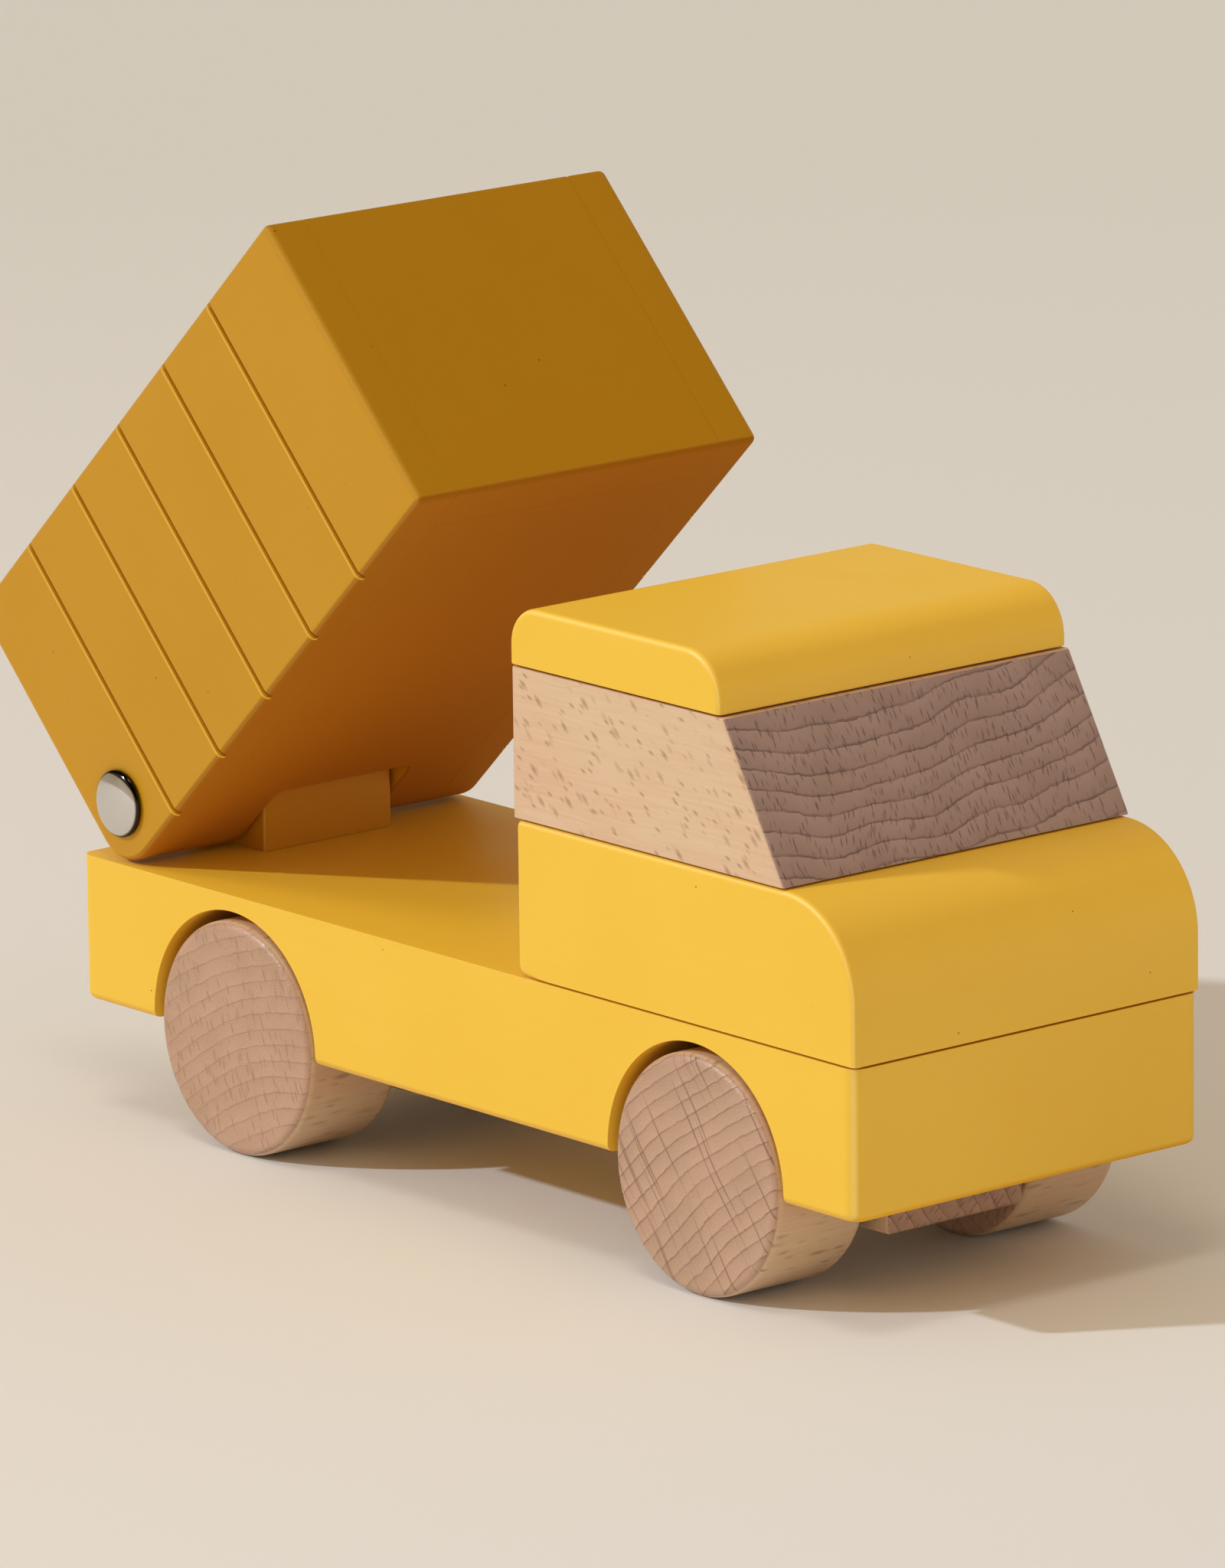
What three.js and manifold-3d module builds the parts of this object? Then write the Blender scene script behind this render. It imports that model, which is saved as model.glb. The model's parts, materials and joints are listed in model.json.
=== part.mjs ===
// Wooden toy dump truck: a painted chassis slab, a cab stacked from three blocks, a tipping hopper
// built of four boards, and two wheelsets whose axles turn between the chassis and an axle block.
// Millimetres. +X points to the cab's nose, +Y to the truck's left side, +Z up, wheels on Z = 0.
// While the pieces are made, X is counted from the chassis' rear end; the finished truck is then
// moved to its origin, on the ground midway between the raised hopper's rear edge and the nose.

import * as THREE from "three";
import { mergeVertices } from "three/addons/utils/BufferGeometryUtils.js";
import Module from "manifold-3d";

const wasm = await Module();
wasm.setup();

// Driving dimensions ---------------------------------------------------------------------------

const GAP = 0.3; // between pieces that touch
const BEYOND = 1; // how far a cutting shape reaches past the surface that it cuts
const EASE = 1.2; // radius of a sanded, painted edge
const RAW_EASE = 0.6; // radius of a sanded edge on bare beech
const ORIGIN_X = 82.65; // from the chassis' rear end to the truck's origin

const TRUCK_WIDTH = 72;
const CHASSIS_LENGTH = 192;
const CHASSIS_BOTTOM = 19;
const DECK = 43.4;

const WHEEL_RADIUS = 19.4;
const WHEEL_THICKNESS = 19;
const REAR_AXLE_X = 39.9;
const FRONT_AXLE_X = 154.4;
const AXLE_RADIUS = 2.5;
const AXLE_CLEARANCE = 0.1;
const AXLE_IN_WHEEL = 12;
const ARCH_RADIUS = 20.9;
const ARCH_CENTRE_Z = 19.8;
const ARCH_DEPTH = 20.2;

const AXLE_BLOCK_LENGTH = 40.8;
const AXLE_BLOCK_WIDTH = 28.2;
const AXLE_BLOCK_BOTTOM = 9.8;
const AXLE_SCREW_SPACING = 28;
const AXLE_SCREW_LENGTH = 20;

const HOOD_REAR = 112;
const HOOD_TOP = 68.7;
const HOOD_NOSE_RADIUS = 16;
const WINDOW_REAR = 111.4;
const WINDOW_FOOT = 176.4;
const WINDOW_HEAD = 162.6;
const WINDOW_TOP = 93.3;
const ROOF_REAR = 111;
const ROOF_FRONT = 161.3;
const ROOF_TOP = 103.1;
const ROOF_REAR_RADIUS = 6.2;
const ROOF_FRONT_RADIUS = 8;

const DOWEL_RADIUS = 4;
const DOWEL_IN_CHASSIS = 12;
const DOWEL_IN_ROOF = 5.5;
const DOWEL_XS = [126, 150];

const PIVOT_X = 10.4;
const PIVOT_Z = 53.5;
const TIP_DEGREES = 44;
const HINGE_BLOCK_LENGTH = 20;
const HINGE_BLOCK_WIDTH = 26.9;
const HINGE_BLOCK_ABOVE_PIN = 5.5;
const HINGE_BLOCK_TOP_RADIUS = 5;
const HINGE_SCREW_Y = 7;
const HINGE_SCREW_LENGTH = 31;
const PIN_RADIUS = 2.5;
const CAP_RADIUS = 5.6;
const CAP_HEIGHT = 1.6;
const CAP_RIM = 0.3;
const CAP_EASE = 0.15;
const CAP_BORE_DEPTH = 1;

// The hopper's own axes: along its floor (A, forward from the pin) and up from it (B).
const HOPPER_WIDTH = 70.7;
const HOPPER_REAR = -8.7;
const HOPPER_FRONT = 99.7;
const HOPPER_BOTTOM = -9.5;
const HOPPER_RIM = 45.1;
const HOPPER_HEEL_RADIUS = 8;
const FLOOR_TOP = 9.5;
const SIDE_THICKNESS = 8;
const FRONT_THICKNESS = 9;
const SLOT_WIDTH = 28.4;
const SLOT_FRONT = 10.9;
const SLOT_CORNER_RADIUS = 2;
const GROOVE_COUNT = 5;
const GROOVE_START = 10.8;
const GROOVE_PITCH = 16.9;
const GROOVE_WIDTH = 1;
const GROOVE_DEPTH = 0.8;

const SCREW_SHANK_RADIUS = 1.6;
const SCREW_HEAD_RADIUS = 3.4;
const SCREW_HEAD_HEIGHT = 2.4;
const SCREW_HEAD_RIM = 0.3;
const SCREW_TIP = 3;

const YELLOW_PAINT = { color: 0xeab43c, roughness: 0.5, metalness: 0 };
const BEECH = { color: 0xd0a682, roughness: 0.7, metalness: 0 };
const STEEL = { color: 0xb9bbbd, roughness: 0.35, metalness: 1 };
const CHROME = { color: 0xe2e2e0, roughness: 0.12, metalness: 1 };

// Solids and placing ---------------------------------------------------------------------------

// A turned shape has flat triangles where its profile meets the axis, and they are left out.
function solid(geometry) {
  const bare = geometry.clone();
  bare.deleteAttribute("normal");
  bare.deleteAttribute("uv");
  const merged = mergeVertices(bare);
  const vertProperties = new Float32Array(merged.attributes.position.array);
  const corners = [];
  for (let i = 0; i < merged.index.count; i += 3) {
    const triangle = merged.index.array.slice(i, i + 3);
    if (new Set(triangle).size === 3) corners.push(...triangle);
  }
  const triVerts = new Uint32Array(corners);
  return new wasm.Manifold(new wasm.Mesh({ numProp: 3, vertProperties, triVerts }));
}

// The body with each of the cutters taken out of it.
function cut(body, cutters) {
  const rest = cutters.reduce((left, cutter) => left.subtract(solid(cutter)), solid(body));
  const mesh = rest.getMesh();
  const geometry = new THREE.BufferGeometry();
  geometry.setAttribute("position", new THREE.BufferAttribute(mesh.vertProperties, 3));
  geometry.setIndex(new THREE.BufferAttribute(mesh.triVerts, 1));
  geometry.computeVertexNormals();
  return geometry;
}

function piece(name, geometry, finish) {
  const mesh = new THREE.Mesh(geometry, new THREE.MeshStandardMaterial(finish));
  mesh.name = name;
  return mesh;
}

// A closed outline through corners [x, z, radius], each corner rounded by an arc of its radius.
function outline(corners) {
  const points = [];
  corners.forEach(([x, z, radius], i) => {
    const corner = new THREE.Vector2(x, z);
    const before = new THREE.Vector2(...corners.at(i - 1)).sub(corner).normalize();
    const after = new THREE.Vector2(...corners[(i + 1) % corners.length]).sub(corner).normalize();
    const halfAngle = Math.acos(before.dot(after)) / 2;
    const centre = before.clone().add(after).setLength(radius / Math.sin(halfAngle)).add(corner);
    const start = before.clone().multiplyScalar(radius / Math.tan(halfAngle)).add(corner);
    const sweep = Math.sign(after.cross(before)) * (Math.PI - 2 * halfAngle);
    const steps = radius === 0 ? 0 : Math.ceil(1 + radius / 2);
    for (let step = 0; step <= steps; step += 1) {
      points.push(start.clone().rotateAround(centre, steps ? (sweep * step) / steps : 0));
    }
  });
  return new THREE.Shape(points);
}

// A board with the given side outline, as wide as stated across Y, its side edges eased. The
// bevel is a little smaller than the outline's own edge radius, which it would else use up.
const BEVEL_SHARE = 0.8;

function board(corners, width, ease, y = 0) {
  const bevel = BEVEL_SHARE * ease;
  const geometry = new THREE.ExtrudeGeometry(outline(corners), {
    depth: width - 2 * bevel,
    bevelEnabled: bevel > 0,
    bevelThickness: bevel,
    bevelSize: bevel,
    bevelOffset: -bevel,
    bevelSegments: 1,
  });
  geometry.translate(0, 0, bevel - width / 2);
  geometry.rotateX(Math.PI / 2);
  geometry.translate(0, y, 0);
  return geometry;
}

// The four corners of a rectangle from (x0, z0) to (x1, z1).
function rectangle(x0, x1, z0, z1, radius) {
  return [[x0, z0, radius], [x1, z0, radius], [x1, z1, radius], [x0, z1, radius]];
}

function rodAlongY(radius, length, x, y, z, sides = 24) {
  const geometry = new THREE.CylinderGeometry(radius, radius, length, sides);
  geometry.translate(x, y, z);
  return geometry;
}

// A round rod or hole that stands on z0 and ends at z1.
function rodAlongZ(radius, x, y, z0, z1, sides = 16) {
  const geometry = new THREE.CylinderGeometry(radius, radius, z1 - z0, sides);
  geometry.rotateX(Math.PI / 2);
  geometry.translate(x, y, (z0 + z1) / 2);
  return geometry;
}

// A shape turned about the Y axis from points [radius, y], listed with y going up.
function turned(profile, sides) {
  return new THREE.LatheGeometry(profile.map(([r, y]) => new THREE.Vector2(r, y)), sides);
}

// Fasteners ------------------------------------------------------------------------------------

// A countersunk wood screw driven upwards, its head flush with z. The grown one is its hole.
function screw(x, y, z, length, growth = 0) {
  const shank = SCREW_SHANK_RADIUS + growth;
  const geometry = turned([
    [0, -growth],
    [SCREW_HEAD_RADIUS + growth, -growth],
    [SCREW_HEAD_RADIUS + growth, SCREW_HEAD_RIM],
    [shank, SCREW_HEAD_HEIGHT + growth],
    [shank, length - SCREW_TIP],
    [0, length + growth],
  ], 12);
  geometry.rotateX(Math.PI / 2);
  geometry.translate(x, y, z);
  return geometry;
}

function axleScrewXs(axleX) {
  return [axleX - AXLE_SCREW_SPACING / 2, axleX + AXLE_SCREW_SPACING / 2];
}

function axleScrew(x, growth = 0) {
  return screw(x, 0, AXLE_BLOCK_BOTTOM + GAP, AXLE_SCREW_LENGTH, growth);
}

function hingeScrew(side, growth = 0) {
  return screw(PIVOT_X, side * HINGE_SCREW_Y, CHASSIS_BOTTOM + GAP, HINGE_SCREW_LENGTH, growth);
}

// A beech dowel that ties the whole cab to the chassis.
function cabDowel(x, growth = 0) {
  const low = DECK - DOWEL_IN_CHASSIS;
  const high = WINDOW_TOP + DOWEL_IN_ROOF;
  return rodAlongZ(DOWEL_RADIUS + growth, x, 0, low - growth, high + growth);
}

// Chassis --------------------------------------------------------------------------------------

function axleHole(x) {
  return rodAlongY(AXLE_RADIUS + AXLE_CLEARANCE, TRUCK_WIDTH, x, 0, WHEEL_RADIUS);
}

// The round pocket in the chassis' side that one wheel turns in.
function wheelArch(x, side) {
  const y = side * (TRUCK_WIDTH / 2 - ARCH_DEPTH / 2 + BEYOND);
  return rodAlongY(ARCH_RADIUS, ARCH_DEPTH + 2 * BEYOND, x, y, ARCH_CENTRE_Z, 48);
}

function chassis() {
  const slab = board(rectangle(0, CHASSIS_LENGTH, CHASSIS_BOTTOM, DECK, EASE), TRUCK_WIDTH, EASE);
  const cutters = [];
  for (const axleX of [REAR_AXLE_X, FRONT_AXLE_X]) {
    cutters.push(wheelArch(axleX, -1), wheelArch(axleX, 1), axleHole(axleX));
    axleScrewXs(axleX).forEach((x) => cutters.push(axleScrew(x, GAP)));
  }
  cutters.push(hingeScrew(-1, GAP), hingeScrew(1, GAP));
  DOWEL_XS.forEach((x) => cutters.push(cabDowel(x, GAP)));
  return cut(slab, cutters);
}

function axleBlock(axleX) {
  const half = AXLE_BLOCK_LENGTH / 2;
  const top = CHASSIS_BOTTOM - GAP;
  const corners = rectangle(axleX - half, axleX + half, AXLE_BLOCK_BOTTOM, top, RAW_EASE);
  const block = board(corners, AXLE_BLOCK_WIDTH, RAW_EASE);
  return cut(block, [axleHole(axleX), ...axleScrewXs(axleX).map((x) => axleScrew(x, GAP))]);
}

// Cab ------------------------------------------------------------------------------------------

function hoodBlock() {
  const corners = [
    [HOOD_REAR, DECK + GAP, EASE],
    [CHASSIS_LENGTH, DECK + GAP, EASE],
    [CHASSIS_LENGTH, HOOD_TOP, HOOD_NOSE_RADIUS],
    [HOOD_REAR, HOOD_TOP, EASE],
  ];
  return cut(board(corners, TRUCK_WIDTH, EASE), DOWEL_XS.map((x) => cabDowel(x, GAP)));
}

function windowBlock() {
  const corners = [
    [WINDOW_REAR, HOOD_TOP + GAP, RAW_EASE],
    [WINDOW_FOOT, HOOD_TOP + GAP, RAW_EASE],
    [WINDOW_HEAD, WINDOW_TOP, RAW_EASE],
    [WINDOW_REAR, WINDOW_TOP, RAW_EASE],
  ];
  return cut(board(corners, TRUCK_WIDTH, RAW_EASE), DOWEL_XS.map((x) => cabDowel(x, GAP)));
}

function roofBoard() {
  const corners = [
    [ROOF_REAR, WINDOW_TOP + GAP, EASE],
    [ROOF_FRONT, WINDOW_TOP + GAP, EASE],
    [ROOF_FRONT, ROOF_TOP, ROOF_FRONT_RADIUS],
    [ROOF_REAR, ROOF_TOP, ROOF_REAR_RADIUS],
  ];
  return cut(board(corners, TRUCK_WIDTH, EASE), DOWEL_XS.map((x) => cabDowel(x, GAP)));
}

// Hinge ----------------------------------------------------------------------------------------

// The block on the deck that holds the pin: its top corners are rounded to swing in the slot.
function hingeBlock() {
  const rear = PIVOT_X - HINGE_BLOCK_LENGTH / 2;
  const front = PIVOT_X + HINGE_BLOCK_LENGTH / 2;
  const top = PIVOT_Z + HINGE_BLOCK_ABOVE_PIN;
  const corners = [
    [rear, DECK + GAP, RAW_EASE],
    [front, DECK + GAP, RAW_EASE],
    [front, top, HINGE_BLOCK_TOP_RADIUS],
    [rear, top, HINGE_BLOCK_TOP_RADIUS],
  ];
  const pinHole = rodAlongY(PIN_RADIUS + AXLE_CLEARANCE, TRUCK_WIDTH, PIVOT_X, 0, PIVOT_Z);
  const block = board(corners, HINGE_BLOCK_WIDTH, RAW_EASE);
  return cut(block, [pinHole, hingeScrew(-1, GAP), hingeScrew(1, GAP)]);
}

function hingePin() {
  return rodAlongY(PIN_RADIUS, HOPPER_WIDTH + 2 * CAP_BORE_DEPTH, 0, 0, 0);
}

// A domed steel cap pushed over the pin's end, turned about the pin: its flat side faces inwards.
function pinCap() {
  const inner = HOPPER_WIDTH / 2 + GAP;
  const bore = PIN_RADIUS + AXLE_CLEARANCE;
  const domeSteps = 5;
  const profile = [[0, inner + CAP_BORE_DEPTH], [bore, inner + CAP_BORE_DEPTH], [bore, inner]];
  profile.push([CAP_RADIUS - CAP_EASE, inner], [CAP_RADIUS, inner + CAP_EASE]);
  for (let step = 0; step < domeSteps; step += 1) {
    const angle = ((Math.PI / 2) * step) / domeSteps;
    const rise = (CAP_HEIGHT - CAP_RIM) * Math.sin(angle);
    profile.push([CAP_RADIUS * Math.cos(angle), inner + CAP_RIM + rise]);
  }
  profile.push([0, inner + CAP_HEIGHT]);
  return turned(profile, 24);
}

// Hopper, drawn level about its pin ------------------------------------------------------------

const SIDE_INNER = HOPPER_WIDTH / 2 - SIDE_THICKNESS;
const FRONT_INNER = HOPPER_FRONT - FRONT_THICKNESS;

function pinBore() {
  return rodAlongY(PIN_RADIUS + AXLE_CLEARANCE, TRUCK_WIDTH, 0, 0, 0);
}

// A V groove cut down the outer face of a side board, so that it looks like upright planks.
function plankGroove(a, side) {
  const face = side * (HOPPER_WIDTH / 2);
  const mouth = GROOVE_WIDTH / 2;
  const flare = (mouth * (GROOVE_DEPTH + BEYOND)) / GROOVE_DEPTH;
  const shape = new THREE.Shape([
    new THREE.Vector2(a - flare, face + side * BEYOND),
    new THREE.Vector2(a, face - side * GROOVE_DEPTH),
    new THREE.Vector2(a + flare, face + side * BEYOND),
  ]);
  const height = HOPPER_RIM - HOPPER_BOTTOM + 2 * BEYOND;
  const groove = new THREE.ExtrudeGeometry(shape, { depth: height, bevelEnabled: false });
  groove.translate(0, 0, HOPPER_BOTTOM - BEYOND);
  return groove;
}

function hopperSide(side) {
  const corners = [
    [HOPPER_REAR, HOPPER_BOTTOM, HOPPER_HEEL_RADIUS],
    [HOPPER_FRONT, HOPPER_BOTTOM, EASE],
    [HOPPER_FRONT, HOPPER_RIM, EASE],
    [HOPPER_REAR, HOPPER_RIM, EASE],
  ];
  const y = side * (SIDE_INNER + SIDE_THICKNESS / 2);
  const cutters = [pinBore()];
  for (let i = 0; i < GROOVE_COUNT; i += 1) {
    cutters.push(plankGroove(GROOVE_START + i * GROOVE_PITCH, side));
  }
  return cut(board(corners, SIDE_THICKNESS, EASE, y), cutters);
}

// The floor is slotted at its rear end, where it straddles the hinge block.
function hopperFloor() {
  const corners = [
    [HOPPER_REAR, HOPPER_BOTTOM, HOPPER_HEEL_RADIUS],
    [FRONT_INNER - GAP, HOPPER_BOTTOM, 0],
    [FRONT_INNER - GAP, FLOOR_TOP, 0],
    [HOPPER_REAR, FLOOR_TOP, EASE],
  ];
  const floor = board(corners, 2 * (SIDE_INNER - GAP), 0);
  const half = SLOT_WIDTH / 2;
  const slotOutline = outline([
    [HOPPER_REAR - BEYOND, -half, 0],
    [SLOT_FRONT, -half, SLOT_CORNER_RADIUS],
    [SLOT_FRONT, half, SLOT_CORNER_RADIUS],
    [HOPPER_REAR - BEYOND, half, 0],
  ]);
  const depth = FLOOR_TOP - HOPPER_BOTTOM + 2 * BEYOND;
  const slot = new THREE.ExtrudeGeometry(slotOutline, { depth, bevelEnabled: false });
  slot.translate(0, 0, HOPPER_BOTTOM - BEYOND);
  return cut(floor, [slot, pinBore()]);
}

function hopperFrontWall() {
  const corners = [
    [FRONT_INNER, HOPPER_BOTTOM, 0],
    [HOPPER_FRONT, HOPPER_BOTTOM, EASE],
    [HOPPER_FRONT, HOPPER_RIM, EASE],
    [FRONT_INNER, HOPPER_RIM, EASE],
  ];
  return board(corners, 2 * (SIDE_INNER - GAP), 0);
}

// Wheelsets, made about their axle -------------------------------------------------------------

// A wheel with its flat inner face at y = 0 and a blind hole there for the axle.
function wheel() {
  const rim = WHEEL_RADIUS - EASE;
  const hole = AXLE_RADIUS + AXLE_CLEARANCE;
  return turned([
    [0, AXLE_IN_WHEEL + GAP],
    [hole, AXLE_IN_WHEEL + GAP],
    [hole, 0],
    [rim, 0],
    [WHEEL_RADIUS, EASE],
    [WHEEL_RADIUS, WHEEL_THICKNESS - EASE],
    [rim, WHEEL_THICKNESS],
    [0, WHEEL_THICKNESS],
  ], 48);
}

function wheelset(name, axleX) {
  const inner = TRUCK_WIDTH / 2 - WHEEL_THICKNESS;
  const set = new THREE.Group();
  const axle = rodAlongY(AXLE_RADIUS, 2 * (inner + AXLE_IN_WHEEL), 0, 0, 0);
  const left = piece(`${name}_left_wheel`, wheel(), BEECH);
  const right = piece(`${name}_right_wheel`, wheel(), BEECH);
  left.position.y = inner;
  right.position.y = -inner;
  right.rotation.z = Math.PI;
  set.add(piece(`${name}_axle`, axle, STEEL), left, right);
  set.position.set(axleX, 0, WHEEL_RADIUS);
  return set;
}

// Assembly -------------------------------------------------------------------------------------

const truck = new THREE.Group();

truck.add(
  piece("chassis", chassis(), YELLOW_PAINT),
  piece("hood_block", hoodBlock(), YELLOW_PAINT),
  piece("window_block", windowBlock(), BEECH),
  piece("roof_board", roofBoard(), YELLOW_PAINT),
  piece("cab_dowel_rear", cabDowel(DOWEL_XS[0]), BEECH),
  piece("cab_dowel_front", cabDowel(DOWEL_XS[1]), BEECH),
  piece("hinge_block", hingeBlock(), YELLOW_PAINT),
  piece("hinge_screw_left", hingeScrew(1), STEEL),
  piece("hinge_screw_right", hingeScrew(-1), STEEL),
);

for (const [name, axleX] of [["rear", REAR_AXLE_X], ["front", FRONT_AXLE_X]]) {
  const [rearScrewX, frontScrewX] = axleScrewXs(axleX);
  truck.add(
    piece(`${name}_axle_block`, axleBlock(axleX), BEECH),
    piece(`${name}_block_screw_rear`, axleScrew(rearScrewX), STEEL),
    piece(`${name}_block_screw_front`, axleScrew(frontScrewX), STEEL),
    wheelset(name, axleX),
  );
}

const rightCap = piece("right_pin_cap", pinCap(), CHROME);
rightCap.rotation.z = Math.PI;

const hopper = new THREE.Group();
hopper.add(
  piece("hopper_floor", hopperFloor(), YELLOW_PAINT),
  piece("hopper_front_wall", hopperFrontWall(), YELLOW_PAINT),
  piece("hopper_left_side", hopperSide(1), YELLOW_PAINT),
  piece("hopper_right_side", hopperSide(-1), YELLOW_PAINT),
  piece("hinge_pin", hingePin(), STEEL),
  piece("left_pin_cap", pinCap(), CHROME),
  rightCap,
);
hopper.position.set(PIVOT_X, 0, PIVOT_Z);
hopper.rotation.y = -THREE.MathUtils.degToRad(TIP_DEGREES);
truck.add(hopper);

truck.position.x = -ORIGIN_X;

export default truck;
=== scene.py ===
# Toy dump truck in painted and bare beech, hopper raised, on a pale studio floor.
# Metres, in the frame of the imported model: +X to the cab's nose, +Y to the truck's left, +Z up.

import json
import math

import bmesh
import bpy
from mathutils import Euler, Matrix, Vector

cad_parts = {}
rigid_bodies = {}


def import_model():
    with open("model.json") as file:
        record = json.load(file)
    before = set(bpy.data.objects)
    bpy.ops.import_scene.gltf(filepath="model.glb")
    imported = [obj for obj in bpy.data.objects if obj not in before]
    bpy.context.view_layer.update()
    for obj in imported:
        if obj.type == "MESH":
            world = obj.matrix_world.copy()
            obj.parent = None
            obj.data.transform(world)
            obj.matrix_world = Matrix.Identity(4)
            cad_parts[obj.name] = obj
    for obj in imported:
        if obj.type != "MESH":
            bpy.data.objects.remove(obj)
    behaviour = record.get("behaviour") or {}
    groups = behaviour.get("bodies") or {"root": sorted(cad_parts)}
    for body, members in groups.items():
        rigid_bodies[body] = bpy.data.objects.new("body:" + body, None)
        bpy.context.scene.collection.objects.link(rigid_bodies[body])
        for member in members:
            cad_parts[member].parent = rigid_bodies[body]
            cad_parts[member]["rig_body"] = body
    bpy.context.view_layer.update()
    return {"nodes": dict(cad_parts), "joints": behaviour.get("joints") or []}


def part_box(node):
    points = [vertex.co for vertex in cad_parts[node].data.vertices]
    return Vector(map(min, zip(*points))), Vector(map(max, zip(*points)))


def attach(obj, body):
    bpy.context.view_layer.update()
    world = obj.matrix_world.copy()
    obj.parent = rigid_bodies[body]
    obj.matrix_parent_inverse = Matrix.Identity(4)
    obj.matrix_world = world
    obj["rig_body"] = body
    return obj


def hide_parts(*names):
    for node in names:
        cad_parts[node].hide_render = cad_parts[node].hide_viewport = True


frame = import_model()


# Chassis slab ---------------------------------------------------------------------------------
# A one-inch beech board, sawn to length, with a round pocket routed for each wheel, a half-round
# groove for each axle and countersunk screw holes from below. Sanded edges, two coats of paint.

MM = 0.001
CORNER_EDGE = 2.6 * MM
FOOT_EDGE = 1.4 * MM
ARCH_RADIUS = 20.9 * MM
ARCH_LIFT = 0.4 * MM  # the pocket's centre lies this far above the wheel's
ARCH_DEPTH = 20.2 * MM
ARCH_EDGE = 0.7 * MM
AXLE_HOLE_RADIUS = 2.6 * MM
SCREW_HEAD_RADIUS = 3.4 * MM
SCREW_HEAD_HEIGHT = 2.4 * MM
SCREW_HOLE_RADIUS = 1.9 * MM
SCREW_CLEARANCE = 0.3 * MM
BIT_OVERRUN = 2 * MM  # how far a bit runs out past the face it enters
WELD = 2e-6
TINY = 1e-5


def clear_bench():
    """Leaves edit mode, if a piece is in it, and deselects everything."""
    if bpy.context.mode != "OBJECT":
        bpy.ops.object.mode_set(mode="OBJECT")
    bpy.ops.object.select_all(action="DESELECT")


def start_block(name, low, high):
    """A sawn block from corner low to corner high, left in edit mode with nothing selected."""
    clear_bench()
    size = [b - a for a, b in zip(low, high)]
    middle = [(a + b) / 2 for a, b in zip(low, high)]
    bpy.ops.mesh.primitive_cube_add(size=1, location=middle, scale=size)
    piece = bpy.context.object
    piece.name = name
    piece.data.name = name
    bpy.ops.object.transform_apply(location=True, rotation=True, scale=True)
    bpy.ops.object.mode_set(mode="EDIT")
    bpy.ops.mesh.select_all(action="DESELECT")
    return piece


def start_rod(name, radius, start, end, sides=96, end_radius=None):
    """A turned rod or cone between two points, left in edit mode with nothing selected."""
    clear_bench()
    start, end = Vector(start), Vector(end)
    turn = (end - start).to_track_quat("Z", "Y").to_euler()
    bpy.ops.mesh.primitive_cone_add(
        vertices=sides,
        radius1=radius,
        radius2=radius if end_radius is None else end_radius,
        depth=(end - start).length,
        location=(start + end) / 2,
        rotation=turn,
    )
    piece = bpy.context.object
    piece.name = name
    piece.data.name = name
    bpy.ops.object.transform_apply(location=True, rotation=True, scale=True)
    bpy.ops.object.mode_set(mode="EDIT")
    bpy.ops.mesh.select_all(action="DESELECT")
    return piece


def pick(piece, kind, test):
    """Selects, in edit mode, the vertices, edges or faces that pass the test."""
    bpy.ops.mesh.select_mode(type=kind)
    bpy.ops.mesh.select_all(action="DESELECT")
    mesh = bmesh.from_edit_mesh(piece.data)
    mesh.normal_update()
    for part in {"VERT": mesh.verts, "EDGE": mesh.edges, "FACE": mesh.faces}[kind]:
        if test(part):
            part.select_set(True)
    bmesh.update_edit_mesh(piece.data)


def edge_along(axis, *places):
    """A test for edges that run along one axis, at given places (axis, value) of their middle."""

    def test(edge):
        run = edge.verts[1].co - edge.verts[0].co
        middle = (edge.verts[0].co + edge.verts[1].co) / 2
        straight = abs(abs(run[axis]) - run.length) < TINY
        return straight and all(abs(middle[a] - value) < TINY for a, value in places)

    return test


def at_level(*levels):
    """A test for edges that lie level at one of the given heights."""

    def test(edge):
        return any(all(abs(v.co.z - z) < TINY for v in edge.verts) for z in levels)

    return test


def round_edges(width, steps):
    """Rounds the selected edges."""
    bpy.ops.mesh.bevel(offset=width, segments=steps, affect="EDGES", clamp_overlap=False)


def leave(piece):
    """Leaves edit mode with only this piece selected and active."""
    clear_bench()
    piece.select_set(True)
    bpy.context.view_layer.objects.active = piece


def cut_away(piece, cutters):
    """Takes the cutters out of the piece, as a router bit or a drill would."""
    leave(piece)
    for cutter in cutters:
        cutting = piece.modifiers.new("cut", "BOOLEAN")
        cutting.operation = "DIFFERENCE"
        cutting.solver = "EXACT"
        cutting.object = cutter
        bpy.ops.object.modifier_apply(modifier=cutting.name)
        bpy.data.objects.remove(cutter)


def sand(piece, width, steps=3, angle=28):
    """Eases every sharp edge that is left and shades the flats flat and the roundings smooth."""
    leave(piece)
    easing = piece.modifiers.new("ease", "BEVEL")
    easing.width = width
    easing.segments = steps
    easing.limit_method = "ANGLE"
    easing.angle_limit = math.radians(angle)
    easing.miter_outer = "MITER_ARC"
    easing.use_clamp_overlap = True
    easing.profile = 0.5
    bpy.ops.object.modifier_apply(modifier=easing.name)
    bpy.ops.object.mode_set(mode="EDIT")
    bpy.ops.mesh.select_all(action="SELECT")
    bpy.ops.mesh.remove_doubles(threshold=WELD)
    bpy.ops.mesh.normals_make_consistent(inside=False)
    leave(piece)
    bpy.ops.object.shade_smooth_by_angle(angle=math.radians(35))
    flats = piece.modifiers.new("flats", "WEIGHTED_NORMAL")
    flats.keep_sharp = True
    flats.weight = 60
    bpy.ops.object.modifier_apply(modifier=flats.name)


def bit(radius, start, end, sides=48, end_radius=None):
    """A drill or router bit, to be given to cut_away."""
    cutter = start_rod("bit", radius, start, end, sides, end_radius)
    leave(cutter)
    return cutter


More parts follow.
